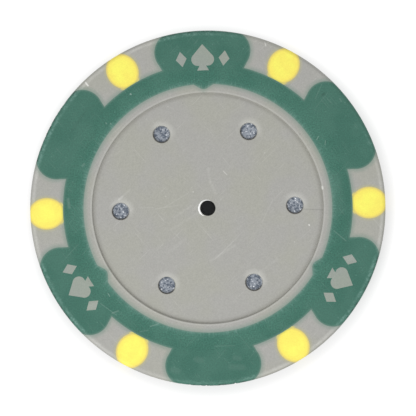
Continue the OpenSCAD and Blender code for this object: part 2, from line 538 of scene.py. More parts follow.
class HairScratches(Effect):
    """Broken hair scratches that run one way, as cloth and other chips leave them."""

    name = "hair_scratches"
    inputs = (
        ("Vector", "Vector", 0.0),
        ("Turn", "Float", 0.0),
        ("Length", "Float", 5.0 * MM),
        ("Width", "Float", 0.09 * MM),
        ("Amount", "Float", 0.3),
    )
    outputs = ("Mask",)
    crest = 0.78
    crest_drop = 0.2
    sharpness = 12.0
    break_w = 1.7 * MM

    @classmethod
    def build(cls, graph: Graph, given: Sockets) -> Sockets:
        """Stretches a noise along the scratches and keeps its crests, broken by a second one.

        Args:
            graph: The group's tree.
            given: The group's inputs by name.

        Returns:
            The group's outputs by name.
        """
        turned = graph.add("VectorRotate", rotation_type="Z_AXIS")
        graph.fill(turned, {"Vector": given["Vector"], "Angle": given["Turn"]})
        along = graph.ratio(1.0, given["Length"])
        across = graph.ratio(1.0, given["Width"])
        stretch = graph.add("CombineXYZ", along, across, along)
        place = graph.vector("MULTIPLY", turned.outputs[0], stretch.outputs[0])
        lines = graph.noise(place, 1.0, detail=0.0)
        crest = graph.minus(cls.crest, graph.times(given["Amount"], cls.crest_drop))
        line = graph.times(graph.minus(lines, crest), cls.sharpness, clamp=True)
        breaks = graph.span(graph.noise(given["Vector"], cls.break_w, detail=1.0), 0.45, 0.6)
        return {"Mask": graph.times(line, breaks)}


class Specks(Effect):
    """Small round specks of dust and chipped plastic, thinly strewn."""

    name = "specks"
    inputs = (
        ("Vector", "Vector", 0.0),
        ("Spacing", "Float", 1.0 * MM),
        ("Size", "Float", 0.08),
        ("Share", "Float", 0.3),
    )
    outputs = ("Mask",)
    softness = 1.4

    @classmethod
    def build(cls, graph: Graph, given: Sockets) -> Sockets:
        """Keeps the middles of a share of Voronoi cells.

        Args:
            graph: The group's tree.
            given: The group's inputs by name.

        Returns:
            The group's outputs by name.
        """
        place = graph.scaled(given["Vector"], graph.ratio(1.0, given["Spacing"]))
        cells = graph.add("TexVoronoi", voronoi_dimensions="3D", feature="F1")
        found = graph.fill(cells, {"Vector": place, "Scale": 1.0}).outputs
        away = graph.ratio(found["Distance"], given["Size"])
        dot = graph.minus(cls.softness, away, clamp=True)
        pick = graph.add("SeparateColor", found["Color"]).outputs[0]
        kept = graph.math("LESS_THAN", pick, given["Share"])
        return {"Mask": graph.times(dot, kept)}


class PinMouths(Effect):
    """Distance from the nearest support pin's axis, and the side of it that a point is on."""

    name = "pin_mouths"
    inputs = (("Vector", "Vector", 0.0), ("Turn", "Float", math.radians(64)))
    outputs = ("Distance", "Side")
    sizes: ChipSizes

    @classmethod
    def build(cls, graph: Graph, given: Sockets) -> Sockets:
        """Rounds the angle to the nearest pin and measures from that pin's axis.

        Side is 1 where the point lies from the pin in the direction that Turn gives, and -1
        on the far side.

        Args:
            graph: The group's tree.
            given: The group's inputs by name.

        Returns:
            The group's outputs by name.
        """
        step = math.tau / cls.sizes.pin_count
        parts = graph.add("SeparateXYZ", given["Vector"]).outputs
        turn = graph.math("ARCTAN2", parts[1], parts[0])
        nearest = graph.times(graph.math("ROUND", graph.ratio(turn, step)), step)
        pin_x = graph.times(graph.math("COSINE", nearest), cls.sizes.pin_circle_r)
        pin_y = graph.times(graph.math("SINE", nearest), cls.sizes.pin_circle_r)
        off_x = graph.minus(parts[0], pin_x)
        off_y = graph.minus(parts[1], pin_y)
        distance = graph.hypotenuse(off_x, off_y)
        along = graph.math(
            "ADD",
            graph.times(off_x, graph.math("COSINE", given["Turn"])),
            graph.times(off_y, graph.math("SINE", given["Turn"])),
        )
        return {"Distance": distance, "Side": graph.ratio(along, distance)}


class EdgeHighlight(Effect):
    """Painted highlight along a rounded edge, a little uneven along the edge."""

    name = "edge_highlight"
    inputs = (
        ("Vector", "Vector", 0.0),
        ("Distance", "Float", 0.0),
        ("Near", "Float", 0.06 * MM),
        ("Far", "Float", 0.65 * MM),
    )
    outputs = ("Mask",)
    uneven_w = 0.5 * MM

    @classmethod
    def build(cls, graph: Graph, given: Sockets) -> Sockets:
        """Raises a soft crest between two distances from the edge and breaks it up.

        Args:
            graph: The group's tree.
            given: The group's inputs by name.

        Returns:
            The group's outputs by name.
        """
        width = graph.minus(given["Far"], given["Near"])
        place = graph.ratio(graph.minus(given["Distance"], given["Near"]), width)
        crest = graph.times(graph.span(place, 0.0, 0.4), graph.span(place, 1.0, 0.5))
        uneven = graph.spread(graph.noise(given["Vector"], cls.uneven_w), 0.6, 1.4)
        return {"Mask": graph.times(crest, uneven, clamp=True)}


class RimHighlightAndNicks(Effect):
    """Painted highlight and nicks at the rim: broken, gone towards one side of the chip and weaker
    towards the opposite side.
    """

    name = "rim_highlight_and_nicks"
    inputs = (("Vector", "Vector", 0.0), ("Distance", "Float", 0.0), ("Broken", "Float", 1.0))
    outputs = ("Mask", "Nicks")
    sizes: ChipSizes
    # the painted highlight and the nicks fade towards the sides that these give
    weak_sides = ((math.radians(50), 0.75, 0.0), (math.radians(250), 0.93, 0.3))
    patch_w = 0.9 * MM
    fleck_w = 0.2 * MM
    nick_w = 0.4 * MM
    nick_reach = (0.24 * MM, 0.06 * MM)
    nick_drop = (0.6 * MM, 0.4 * MM)

    @classmethod
    def build(cls, graph: Graph, given: Sockets) -> Sockets:
        """Thins the painted highlight and the nicks by a slow noise and by the direction from the
        chip's axis.

        Args:
            graph: The group's tree.
            given: The group's inputs by name.

        Returns:
            The group's outputs by name.
        """
        place, distance = given["Vector"], given["Distance"]
        edge = graph.effect(EdgeHighlight, Vector=place, Distance=distance)["Mask"]
        outward = graph.vector("NORMALIZE", graph.vector("MULTIPLY", place, LEVEL))
        direction_share: Value = 1.0
        for turn, reach, least in cls.weak_sides:
            facing = graph.dot(outward, level_vector(turn))
            direction_share = graph.times(direction_share, graph.spread(graph.span(facing, 0.99, reach), least, 1.0))
        broken = graph.span(graph.noise(place, cls.patch_w, detail=3.0), 0.35, 0.65)
        flecks = graph.span(graph.noise(place, cls.fleck_w, detail=1.0), 0.38, 0.62)
        patchy = graph.times(graph.spread(broken, 0.3, 1.6), graph.spread(flecks, 0.45, 1.55))
        patchy = graph.swing(graph.minus(patchy, 1.0), given["Broken"])
        chipped = graph.span(graph.noise(place, cls.nick_w, detail=1.0), 0.5, 0.62)
        half = cls.sizes.thickness / 2
        height = graph.add("SeparateXYZ", place).outputs[2]
        level = graph.math("ABSOLUTE", graph.minus(height, half))
        at_face = graph.span(level, half - cls.nick_drop[0], half - cls.nick_drop[1])
        at_rim = graph.times(graph.span(distance, *cls.nick_reach), at_face)
        return {
            "Mask": graph.times(graph.times(edge, patchy), direction_share),
            "Nicks": graph.times(graph.times(at_rim, chipped), direction_share),
        }


class SingleMark(Effect):
    """One short straight mark between two points of the upper face."""

    name = "single_mark"
    inputs = (
        ("Vector", "Vector", 0.0),
        ("Start", "Vector", 0.0),
        ("End", "Vector", 0.0),
        ("Width", "Float", 0.1 * MM),
    )
    outputs = ("Mask",)
    softness = 1.5

    @classmethod
    def build(cls, graph: Graph, given: Sockets) -> Sockets:
        """Measures the distance from the line between the two ends.

        Args:
            graph: The group's tree.
            given: The group's inputs by name.

        Returns:
            The group's outputs by name.
        """
        line = graph.vector("SUBTRACT", given["End"], given["Start"])
        point = graph.vector("SUBTRACT", given["Vector"], given["Start"])
        share = graph.ratio(graph.dot(point, line), graph.dot(line, line), clamp=True)
        away = graph.away(point, graph.scaled(line, share))
        near = graph.minus(cls.softness, graph.ratio(away, given["Width"]), clamp=True)
        return {"Mask": near}


@dataclass(frozen=True)
class Ground:
    """A material's tree, the point that it shades and the sizes of the chip."""

    graph: Graph
    place: Socket
    sizes: ChipSizes


@dataclass(frozen=True)
class Mark:
    """A scratch, nick or weld line that shows on the upper face, in millimetres."""

    start: Point
    end: Point
    width: float
    strength: float
    tint: Tint = Tint.PALE

    def mask(self, ground: Ground) -> Socket:
        """Gives the mark's mask, at the level of the recess floor or of the land.

        Args:
            ground: The material's tree and the point that it shades.

        Returns:
            The mark's strength where the mark is, and 0 elsewhere.
        """
        sizes = ground.sizes
        in_recess = math.hypot(*self.start) * MM < sizes.recess_r
        height = sizes.recess_floor if in_recess else sizes.thickness
        mark = ground.graph.effect(
            SingleMark,
            Vector=ground.place,
            Start=(self.start[0] * MM, self.start[1] * MM, height),
            End=(self.end[0] * MM, self.end[1] * MM, height),
            Width=self.width * MM,
        )
        return ground.graph.times(mark["Mask"], self.strength)


GREY_MARKS = (
    Mark((10.32, -0.45), (11.5, -0.55), 0.05, 0.3, Tint.DARK),
    Mark((11.5, -0.55), (12.6, -0.62), 0.05, 0.35, Tint.DARK),
    Mark((1.85, 4.0), (2.22, 3.59), 0.05, 0.4),
    Mark((6.85, 18.1), (6.98, 17.6), 0.05, 0.5),
    Mark((-13.05, 14.4), (-12.68, 13.9), 0.08, 1.0),
    Mark((10.38, 7.76), (10.4, 7.78), 0.06, 0.5, Tint.DARK),
    Mark((11.03, -2.21), (11.06, -2.25), 0.07, 1.0),
    Mark((-4.73, 0.26), (-2.04, 1.77), 0.05, 0.1),
    Mark((5.85, -1.8), (7.2, 0.75), 0.05, 0.1),
    Mark((9.4, -4.01), (9.38, -4.03), 0.06, 0.3),
    Mark((12.62, 1.86), (12.63, 1.72), 0.12, 0.6),
    Mark((-9.7, 1.3), (-8.5, 2.3), 0.1, 0.1),
    Mark((-9.75, 1.25), (-9.3, 1.6), 0.12, 0.15),
    Mark((-7.35, 0.3), (-6.0, 0.28), 0.05, 0.1),
    Mark((-5.8, 0.1), (-3.25, 0.45), 0.05, 0.1),
    Mark((-7.4, -4.64), (-7.36, -4.62), 0.06, 0.4, Tint.DARK),
    Mark((-1.53, 1.83), (-1.56, 1.86), 0.06, 0.45),
    Mark((-4.55, 1.42), (-4.58, 1.45), 0.06, 0.3),
    Mark((-3.98, 11.28), (-4.01, 11.31), 0.05, 0.3),
    Mark((-2.36, 11.6), (-2.33, 11.63), 0.06, 0.35, Tint.DARK),
    Mark((0.17, 4.37), (0.35, 2.9), 0.14, 0.08),
    Mark((0.35, 2.9), (0.92, 1.66), 0.16, 0.08),
    Mark((-3.7, -0.86), (-1.64, 0.41), 0.1, 0.08),
    Mark((-4.09, -2.2), (-1.0, -0.45), 0.12, 0.06),
    Mark((-4.46, -4.65), (-2.6, -3.3), 0.16, 0.06),
    Mark((0.07, -5.78), (2.81, -4.2), 0.12, 0.08),
    Mark((5.35, -7.29), (7.4, -5.86), 0.12, 0.05),
)
GREEN_MARKS = (
    Mark((13.2, 12.12), (13.0, 11.98), 0.14, 0.3, Tint.DARK),
    Mark((15.05, 11.2), (14.9, 11.5), 0.08, 0.1),
    Mark((12.2, 10.6), (13.6, 12.2), 0.04, 0.06),
    Mark((13.0, 13.2), (12.2, 11.6), 0.04, 0.1),
    Mark((12.4, 7.45), (12.2, 7.1), 0.04, 0.3),
    Mark((13.15, 6.95), (13.1, 6.5), 0.04, 0.25),
    Mark((-13.6, 5.1), (-13.4, 5.3), 0.12, 0.12),
    Mark((-10.85, 9.75), (-10.8, 9.65), 0.05, 0.3),
    Mark((-10.35, 9.68), (-10.3, 9.58), 0.05, 0.3),
    Mark((-7.94, -13.3), (-7.0, -13.15), 0.05, 0.1),
    Mark((-6.75, -12.75), (-5.85, -12.5), 0.05, 0.22),
    Mark((0.2, -15.15), (2.45, -15.2), 0.04, 0.09),
    Mark((1.96, -17.5), (3.2, -17.6), 0.3, 0.05),
    Mark((-1.8, -16.55), (-1.3, -16.65), 0.3, 0.05),
    Mark((-4.5, -17.6), (-3.9, -17.75), 0.3, 0.05),
    Mark((2.4, -16.5), (2.9, -16.6), 0.25, 0.05),
    Mark((13.74, -2.95), (15.03, -4.12), 0.05, 0.15),
    Mark((-12.11, -10.07), (-10.41, -11.4), 0.04, 0.15),
    Mark((-11.28, -8.99), (-11.1, -9.3), 0.05, 0.3),
    Mark((-10.88, -11.15), (-10.23, -10.93), 0.08, 0.15),
    Mark((-12.93, 11.28), (-14.57, 8.99), 0.16, 0.1, Tint.DARK),
    Mark((-11.98, 9.03), (-13.08, 7.12), 0.16, 0.08, Tint.DARK),
    Mark((14.2, -0.5), (14.0, 2.8), 0.7, 0.04),
    Mark((-8.03, 12.82), (-8.0, 12.78), 0.07, 0.6),
    Mark((-15.3, 1.5), (-15.2, 0.6), 0.15, 0.12),
)


class Finish(Protocol):
    """What a piece is dressed in."""

    name: str

    def surface(self, ground: Ground) -> Node:
        """Adds the finish's nodes and returns its shader."""


def material_of(finish: Finish, sizes: ChipSizes) -> bpy.types.Material:
    """Makes a finish's material, or finds it where another piece has it already.

    Args:
        finish: The finish.
        sizes: Sizes of the chip.

    Returns:
        The material.
    """
    found = bpy.data.materials.get(finish.name)
    if found:
        return found
    material = bpy.data.materials.new(finish.name)
    graph = Graph.emptied(material)
    place = graph.add("TexCoord").outputs["Object"]
    shader = finish.surface(Ground(graph, place, sizes))
    graph.add("OutputMaterial", shader.outputs[0])
    return material


def principled(
    graph: Graph,
    colour: Value,
    roughness: Value,
    height: Value,
    depth: float,
    gloss: float,
    metallic: float = 0.0,
) -> Node:
    """Adds the shader and its bump.

    Args:
        graph: The material's tree.
        colour: Base colour.
        roughness: Roughness.
        height: Height of the surface's grain, from 0 to 1.
        depth: Real depth of that grain, in metres.
        gloss: Specular level.
        metallic: 1 on metal.

    Returns:
        The Principled BSDF node.
    """
    bump = graph.add("Bump")
    bump.inputs["Strength"].default_value = 1.0
    bump.inputs["Distance"].default_value = depth
    graph.put(bump.inputs["Height"], height)
    shader = graph.add("BsdfPrincipled")
    graph.put(shader.inputs["Base Color"], colour)
    graph.put(shader.inputs["Roughness"], roughness)
    shader.inputs["Metallic"].default_value = metallic
    shader.inputs["Specular IOR Level"].default_value = gloss
    graph.put(shader.inputs["Normal"], bump.outputs[0])
    return shader


def added(graph: Graph, *values: Value) -> Value:
    """Adds up values, such as the masks of several marks."""
    return reduce(partial(graph.math, "ADD"), values, 0.0)


def marks_of(ground: Ground, marks: Iterable[Mark], tint: Tint) -> Socket:
    """Adds up the marks of one tint."""
    masks = (mark.mask(ground) for mark in marks if mark.tint is tint)
    return ground.graph.least(added(ground.graph, *masks), 1.0)


@dataclass(frozen=True)
class GreyPlastic:
    """Satin grey of the first shot, with hair scratches, specks and a weld line."""

    name: str = "satin_grey"
    warm: Colour = (0.39, 0.39, 0.347)
    cool: Colour = (0.39, 0.387, 0.365)
    pale: Colour = (0.75, 0.75, 0.71)
    dark: Colour = (0.2, 0.2, 0.18)
    # colour of the painted shade in the recess's corner and on one side of the rim
    painted_shade_colour: Colour = (0.26, 0.255, 0.225)
    shaded: Colour = (0.15, 0.14, 0.12)
    green_bleed: Colour = (0.12, 0.24, 0.19)
    yellow_bleed: Colour = (0.5, 0.47, 0.2)
    green_bleed_w: float = 0.6 * MM
    yellow_bleed_w: float = 0.4 * MM
    bleed_share: float = 0.5
    pip_tint: float = 0.6
    flash: Colour = (0.75, 0.66, 0.17)
    flash_w: float = 0.4 * MM
    flash_share: float = 0.75
    grain_w: float = 0.13 * MM
    patch_w: float = 4.2 * MM
    contrast: float = 0.3
    rising_turn: float = math.radians(-42)
    falling_turn: float = math.radians(51)
    hair_share: float = 0.14
    hair_depth: float = 0.5
    speck_gap: float = 1.6 * MM
    speck_share: float = 0.35
    # painted shade: its width in the recess, its unevenness, and the side of the rim that it
    # darkens
    recess_shade_w: float = 0.55 * MM
    recess_shade_patch_w: float = 1.2 * MM
    rim_shade_turn: float = math.radians(297)
    rim_shade_share: float = 0.5
    lip_w: float = 0.32 * MM
    lip_share: float = 0.17
    rim_share: float = 0.25
    # painted highlight on the lit side of the pin holes' mouths
    pin_highlight_w: float = 0.75 * MM
    pin_highlight_share: float = 0.27
    roughness: float = 0.5
    roughness_swing: float = 0.2
    grain_depth: float = 0.006 * MM
    gloss: float = 0.3

    def surface(self, ground: Ground) -> Node:
        """Adds the nodes.

        Args:
            ground: The material's tree and the point that it shades.

        Returns:
            The shader node.
        """
        graph, place = ground.graph, ground.place
        places = graph.effect(ChipPlaces, Vector=place)
        grain = graph.effect(MouldedGrain, Vector=place, Grain=self.grain_w, Patch=self.patch_w)
        colour = graph.blend(grain["Slow"], self.warm, self.cool)
        colour = graph.scaled(colour, graph.swing(grain["Fine"], self.contrast))
        # painted shade in the recess's corner and on one side of the rim
        colour = graph.blend(self.recess_and_rim_shade_share(ground, places), colour, self.painted_shade_colour)
        colour = graph.blend(self.shaded_share(ground), colour, self.shaded)
        rising = graph.effect(HairScratches, Vector=place, Turn=self.rising_turn, Amount=0.35)
        falling = graph.effect(HairScratches, Vector=place, Turn=self.falling_turn, Amount=0.2)
        hairs = graph.most(rising["Mask"], falling["Mask"])
        specks = graph.effect(Specks, Vector=place, Spacing=self.speck_gap, Size=0.045, Share=0.1)
        # pale: scratches, specks and marks, with painted highlights on the recess's lip, the rim
        # and the pin holes
        pale = added(
            graph,
            graph.times(hairs, self.hair_share),
            graph.times(specks["Mask"], self.speck_share),
            marks_of(ground, GREY_MARKS, Tint.PALE),
            self.painted_highlight_share(ground, places),
        )
        colour = graph.blend(graph.least(pale, 1.0), colour, self.pale)
        colour = graph.blend(marks_of(ground, GREY_MARKS, Tint.DARK), colour, self.dark)
        from_green, from_spot = places["From Green"], places["From Spot"]
        colour = self.bled(graph, colour, from_green, self.green_bleed, self.green_bleed_w)
        colour = self.bled(graph, colour, from_spot, self.yellow_bleed, self.yellow_bleed_w)
        flash = graph.times(
            graph.span(places["From Ring"], self.flash_w, 0.4 * self.flash_w),
            graph.span(from_spot, 0.5 * self.flash_w, 0.1 * self.flash_w),
        )
        colour = graph.tinted(colour, flash, self.flash_share, self.flash)
        roughness = graph.swing(grain["Fine"], self.roughness_swing, self.roughness)
        height = graph.minus(grain["Height"], graph.times(hairs, self.hair_depth))
        return principled(graph, colour, roughness, height, self.grain_depth, self.gloss)

    def bled(
        self, graph: Graph, colour: Value, distance: Value, other: Colour, width: float
    ) -> Socket:
        """Lets a neighbouring shot's colour bleed into the grey at their seam.

        Args:
            graph: The material's tree.
            colour: The grey so far.
            distance: Distance from the other shot, negative inside its outline, as on the pips.
            other: The colour that bleeds.
            width: How far it bleeds.

        Returns:
            The grey with the bleed.
        """
        outside = graph.span(distance, width, -width / 5)
        inside = graph.spread(graph.span(distance, -width, -width / 5), self.pip_tint, 1.0)
        return graph.tinted(colour, graph.times(outside, inside), self.bleed_share, other)

    def recess_and_rim_shade_share(self, ground: Ground, places: Outputs) -> Socket:
        """Says how much painted shade lies in the corner of the recess and on one side of the rim.

        Args:
            ground: The material's tree and the point that it shades.
            places: Where the point lies on the chip.

        Returns:
            The share of the painted shade's colour.
        """
        graph, place = ground.graph, ground.place
        inward = graph.minus(ground.sizes.recess_r, places["Radius"])
        near = graph.times(
            graph.span(inward, self.recess_shade_w, 0.0),
            graph.span(inward, -0.5 * self.lip_w, -0.05 * self.lip_w),
        )
        uneven = graph.spread(graph.noise(place, self.recess_shade_patch_w), 0.38, 0.72)
        facing = graph.dot(graph.vector("NORMALIZE", place), level_vector(self.rim_shade_turn))
        outer = graph.times(
            graph.span(places["From Rim"], 0.22 * MM, 0.04 * MM),
            graph.times(graph.span(facing, 0.3, 0.95), self.rim_shade_share),
        )
        return graph.most(graph.times(near, uneven), outer)

    def shaded_share(self, ground: Ground) -> Socket:
        """Says how dark the wall of a pin hole is on the side that the light comes from.

        Args:
            ground: The material's tree and the point that it shades.

        Returns:
            The share of the shaded colour.
        """
        graph, pin_r = ground.graph, ground.sizes.pin_r
        pin = graph.effect(PinMouths, Vector=ground.place)
        at_wall = graph.span(pin["Distance"], pin_r + 0.08 * MM, pin_r - 0.03 * MM)
        return graph.times(at_wall, graph.span(pin["Side"], 0.4, -0.6))

    def painted_highlight_share(self, ground: Ground, places: Outputs) -> Socket:
        """Says how much painted highlight lies on the recess's lip, the rim and the lit side of the
        pin holes.

        Args:
            ground: The material's tree and the point that it shades.
            places: Where the point lies on the chip.

        Returns:
            The share of the pale colour, as painted highlight.
        """
        graph, place, sizes = ground.graph, ground.place, ground.sizes
        outward = graph.minus(places["Radius"], sizes.recess_r)
        lip = graph.effect(EdgeHighlight, Vector=place, Distance=outward, Near=0.0, Far=self.lip_w)
        rim = graph.effect(RimHighlightAndNicks, Vector=place, Distance=places["From Rim"], Broken=0.3)
        pin = graph.effect(PinMouths, Vector=place)
        lit_pin_mouth = graph.times(
            graph.span(pin["Distance"], sizes.pin_r + self.pin_highlight_w, sizes.pin_r),
            graph.span(pin["Side"], -0.5, 0.8),
        )
        return added(
            graph,
            graph.times(lip["Mask"], self.lip_share),
            graph.times(rim["Mask"], self.rim_share),
            graph.times(lit_pin_mouth, self.pin_highlight_share),
        )

@dataclass(frozen=True)
class GreenPlastic:
    """Green of the second shot, lighter in streaks at the ring's inner edge, with a painted
    highlight along the rim, and strewn with fine specks.
    """

    name: str = "rubbed_and_highlight_green"
    deep: Colour = (0.039, 0.142, 0.104)
    shallow: Colour = (0.051, 0.16, 0.119)
    # lighter colour of the streaks and specks, and of the painted highlight at the rim
    rubbed_and_highlight: Colour = (0.13, 0.27, 0.225)
    nicked: Colour = (0.012, 0.04, 0.03)
    thin: Colour = (0.22, 0.3, 0.26)
    thin_w: float = 0.26 * MM
    thin_share: float = 0.42
    pale: Colour = (0.42, 0.55, 0.5)
    grain_w: float = 0.15 * MM
    patch_w: float = 2.6 * MM
    rising_turn: float = math.radians(-47)
    falling_turn: float = math.radians(52)
    falling_length: float = 1.4 * MM
    hair_share: float = 0.07
    nick_share: float = 0.75
    streak_length: float = 0.75 * MM
    streaks_round: float = 95.0
    streak_gap: float = 0.4 * MM
    seam_w: float = 0.5 * MM
    seam_share: float = 0.05
    speck_gap: float = 0.55 * MM
    speck_share: float = 0.45
    rim_share: float = 0.43
    fade_w: float = 0.8 * MM
    roughness: float = 0.5
    roughness_swing: float = 0.2
    grain_depth: float = 0.007 * MM
    gloss: float = 0.3

    def surface(self, ground: Ground) -> Node:
        """Adds the nodes.

        Args:
            ground: The material's tree and the point that it shades.

        Returns:
            The shader node.
        """
        graph, place, sizes = ground.graph, ground.place, ground.sizes
        places = graph.effect(ChipPlaces, Vector=place)
        grain = graph.effect(MouldedGrain, Vector=place, Grain=self.grain_w, Patch=self.patch_w)
        colour = graph.blend(grain["Slow"], self.deep, self.shallow)
        inwards = graph.span(places["Radius"], sizes.ring_outer_r + self.fade_w, sizes.ring_inner_r)
        contrast = graph.spread(inwards, 0.6, 1.2)
        tone = graph.spread(inwards, 0.97, 1.08)
        colour = graph.scaled(colour, graph.swing(grain["Fine"], contrast, tone))
        # lighter streaks and specks, and painted highlight at the rim
        rubbed_and_highlight = graph.least(self.rubbed_and_highlight_share(ground, places), 1.0)
        colour = graph.blend(rubbed_and_highlight, colour, self.rubbed_and_highlight)
        rising = graph.effect(HairScratches, Vector=place, Turn=self.rising_turn, Amount=0.3)
        falling = graph.effect(
            HairScratches,
            Vector=place,
            Turn=self.falling_turn,
            Length=self.falling_length,
            Amount=0.45,
        )
        hairs = graph.times(graph.most(rising["Mask"], falling["Mask"]), self.hair_share)
        pale = added(graph, hairs, marks_of(ground, GREEN_MARKS, Tint.PALE))
        colour = graph.blend(graph.least(pale, 1.0), colour, self.pale)
        colour = graph.blend(marks_of(ground, GREEN_MARKS, Tint.DARK), colour, self.nicked)
        thinned = graph.span(places["From Green"], -self.thin_w, 0.05 * MM)
        colour = graph.tinted(colour, thinned, self.thin_share, self.thin)
        nicks = graph.effect(RimHighlightAndNicks, Vector=place, Distance=places["From Rim"])["Nicks"]
        colour = graph.tinted(colour, nicks, self.nick_share, self.nicked)
        roughness = graph.swing(grain["Fine"], self.roughness_swing, self.roughness)
        return principled(graph, colour, roughness, grain["Height"], self.grain_depth, self.gloss)

    def rubbed_and_highlight_share(self, ground: Ground, places: Outputs) -> Socket:
        """Says how far the green is lightened: in streaks at the ring's inner edge, by a painted
        highlight at the rim, and in single specks.

        Args:
            ground: The material's tree and the point that it shades.
            places: Where the point lies on the chip.

        Returns:
            The share of the lighter colour.
        """
        graph, place = ground.graph, ground.place
        across_ring = graph.vector("MULTIPLY", graph.vector("NORMALIZE", place), LEVEL)
        streak_place = graph.scaled(across_ring, self.streaks_round)
        streaks = graph.span(graph.noise(streak_place, 1.0), 0.35, 0.7)
        flecks = graph.span(graph.noise(place, self.streak_gap), 0.4, 0.65)
        streaks = graph.times(streaks, graph.spread(flecks, 0.25, 1.3))
        inner_side = graph.math("LESS_THAN", places["Radius"], ground.sizes.ring_middle)
        inner_edge = graph.span(places["From Ring"], -self.streak_length, 0.1 * self.streak_length)
        inner_edge = graph.times(inner_edge, inner_side)
        seam = graph.span(places["From Ring"], -self.seam_w, 0.0)
        specks = graph.effect(Specks, Vector=place, Spacing=self.speck_gap, Size=0.13, Share=0.22)
        rim = graph.effect(RimHighlightAndNicks, Vector=place, Distance=places["From Rim"])
        return added(
            graph,
            graph.times(inner_edge, graph.spread(streaks, 0.1, 0.85)),
            graph.times(seam, self.seam_share),
            graph.times(specks["Mask"], self.speck_share),
            graph.times(rim["Mask"], self.rim_share),
        )


@dataclass(frozen=True)
class YellowPlastic:
    """Bright yellow of the third shot, a little warmer and duller towards its seams."""

    name: str = "bright_yellow"
    bright: Colour = (0.975, 0.93, 0.148)
    warm: Colour = (0.955, 0.8, 0.138)
    seam: Colour = (0.62, 0.5, 0.2)
    greened: Colour = (0.36, 0.46, 0.12)
    patch_share: float = 0.6
    near_share: float = 0.9
    seam_share: float = 0.8
    greened_share: float = 0.6
    grain_w: float = 0.14 * MM
    patch_w: float = 1.5 * MM
    contrast: float = 0.16
    roughness: float = 0.5
    roughness_swing: float = 0.15
    grain_depth: float = 0.006 * MM
    gloss: float = 0.3

    def surface(self, ground: Ground) -> Node:
        """Adds the nodes.

        Args:
            ground: The material's tree and the point that it shades.

        Returns:
            The shader node.
        """
        graph, place = ground.graph, ground.place
        places = graph.effect(ChipPlaces, Vector=place)
        grain = graph.effect(MouldedGrain, Vector=place, Grain=self.grain_w, Patch=self.patch_w)
        colour = graph.tinted(self.bright, grain["Slow"], self.patch_share, self.warm)
        near = graph.span(places["From Spot"], -0.9 * MM, -0.15 * MM)
        colour = graph.tinted(colour, near, self.near_share, self.warm)
        edge = graph.span(places["From Spot"], -0.34 * MM, 0.03 * MM)
        colour = graph.tinted(colour, edge, self.seam_share, self.seam)
        beside_green = graph.span(places["From Ring"], 0.26 * MM, -0.04 * MM)
        colour = graph.tinted(colour, beside_green, self.greened_share, self.greened)
        colour = graph.scaled(colour, graph.swing(grain["Fine"], self.contrast))
        roughness = graph.swing(grain["Fine"], self.roughness_swing, self.roughness)
        return principled(graph, colour, roughness, grain["Height"], self.grain_depth, self.gloss)


@dataclass(frozen=True)
class SlugSteel:
    """Rough zinc-plated steel, mottled bright and dark, as it shows in the pin holes."""

    name: str = "mottled_zinc"
    dark: Colour = (0.1, 0.12, 0.155)
    middle: Colour = (0.31, 0.34, 0.383)
    bright: Colour = (0.95, 0.97, 1.0)
    shaded: Colour = (0.06, 0.058, 0.052)
    pit_depth: float = 0.05 * MM
    crystal: float = 0.27 * MM
    fleck: float = 0.19 * MM
    fleck_shift: Triple = (0.01, 0.02, 0.03)
    wall_in: float = 0.07 * MM
    shade_w: float = 0.16 * MM
    gloss: float = 0.5
    metallic: float = 0.9

    def surface(self, ground: Ground) -> Node:
        """Adds the nodes.

        Args:
            ground: The material's tree and the point that it shades.

        Returns:
            The shader node.
        """
        graph, place, pin_r = ground.graph, ground.place, ground.sizes.pin_r
        blotches = graph.noise(place, self.crystal, detail=2.0, roughness=0.6)
        flecks = graph.noise(graph.vector("ADD", place, self.fleck_shift), self.fleck, detail=1.5)
        colour = graph.blend(graph.span(blotches, 0.36, 0.62), self.dark, self.middle)
        colour = graph.blend(graph.span(flecks, 0.56, 0.82), colour, self.bright)
        pin = graph.effect(PinMouths, Vector=place)
        wall_r = pin_r - self.wall_in
        shade = graph.times(
            graph.span(pin["Distance"], wall_r - self.shade_w, wall_r),
            graph.spread(graph.span(pin["Side"], 0.3, -0.6), 0.08, 0.65),
        )
        in_mouth = graph.span(pin["Distance"], pin_r + 0.15 * MM, pin_r + 0.05 * MM)
        colour = graph.blend(graph.times(shade, in_mouth), colour, self.shaded)
        roughness = graph.spread(blotches, 0.25, 0.55)
        return principled(
            graph, colour, roughness, blotches, self.pit_depth, self.gloss, self.metallic
        )


@dataclass(frozen=True)
class BurrHighlight:
    """Grey plastic of the burr, painted near white as a highlight and broken by a noise."""

    name: str = "burr_painted_highlight"
    # painted highlight: near white, mixed with a pale grey by a noise
    white: Colour = (1.0, 1.0, 0.99)
    grey: Colour = (0.93, 0.93, 0.91)
    burr_grain_w: float = 0.12 * MM
    burr_grain_depth: float = 0.004 * MM
    gloss: float = 0.8

    def surface(self, ground: Ground) -> Node:
        """Adds the nodes.

        Args:
            ground: The material's tree and the point that it shades.

        Returns:
            The shader node.
        """
        graph = ground.graph
        burr_grain = graph.noise(ground.place, self.burr_grain_w)
        colour = graph.blend(graph.span(burr_grain, 0.5, 0.75), self.white, self.grey)
        roughness = graph.spread(burr_grain, 0.2, 0.45)
        return principled(graph, colour, roughness, burr_grain, self.burr_grain_depth, self.gloss)


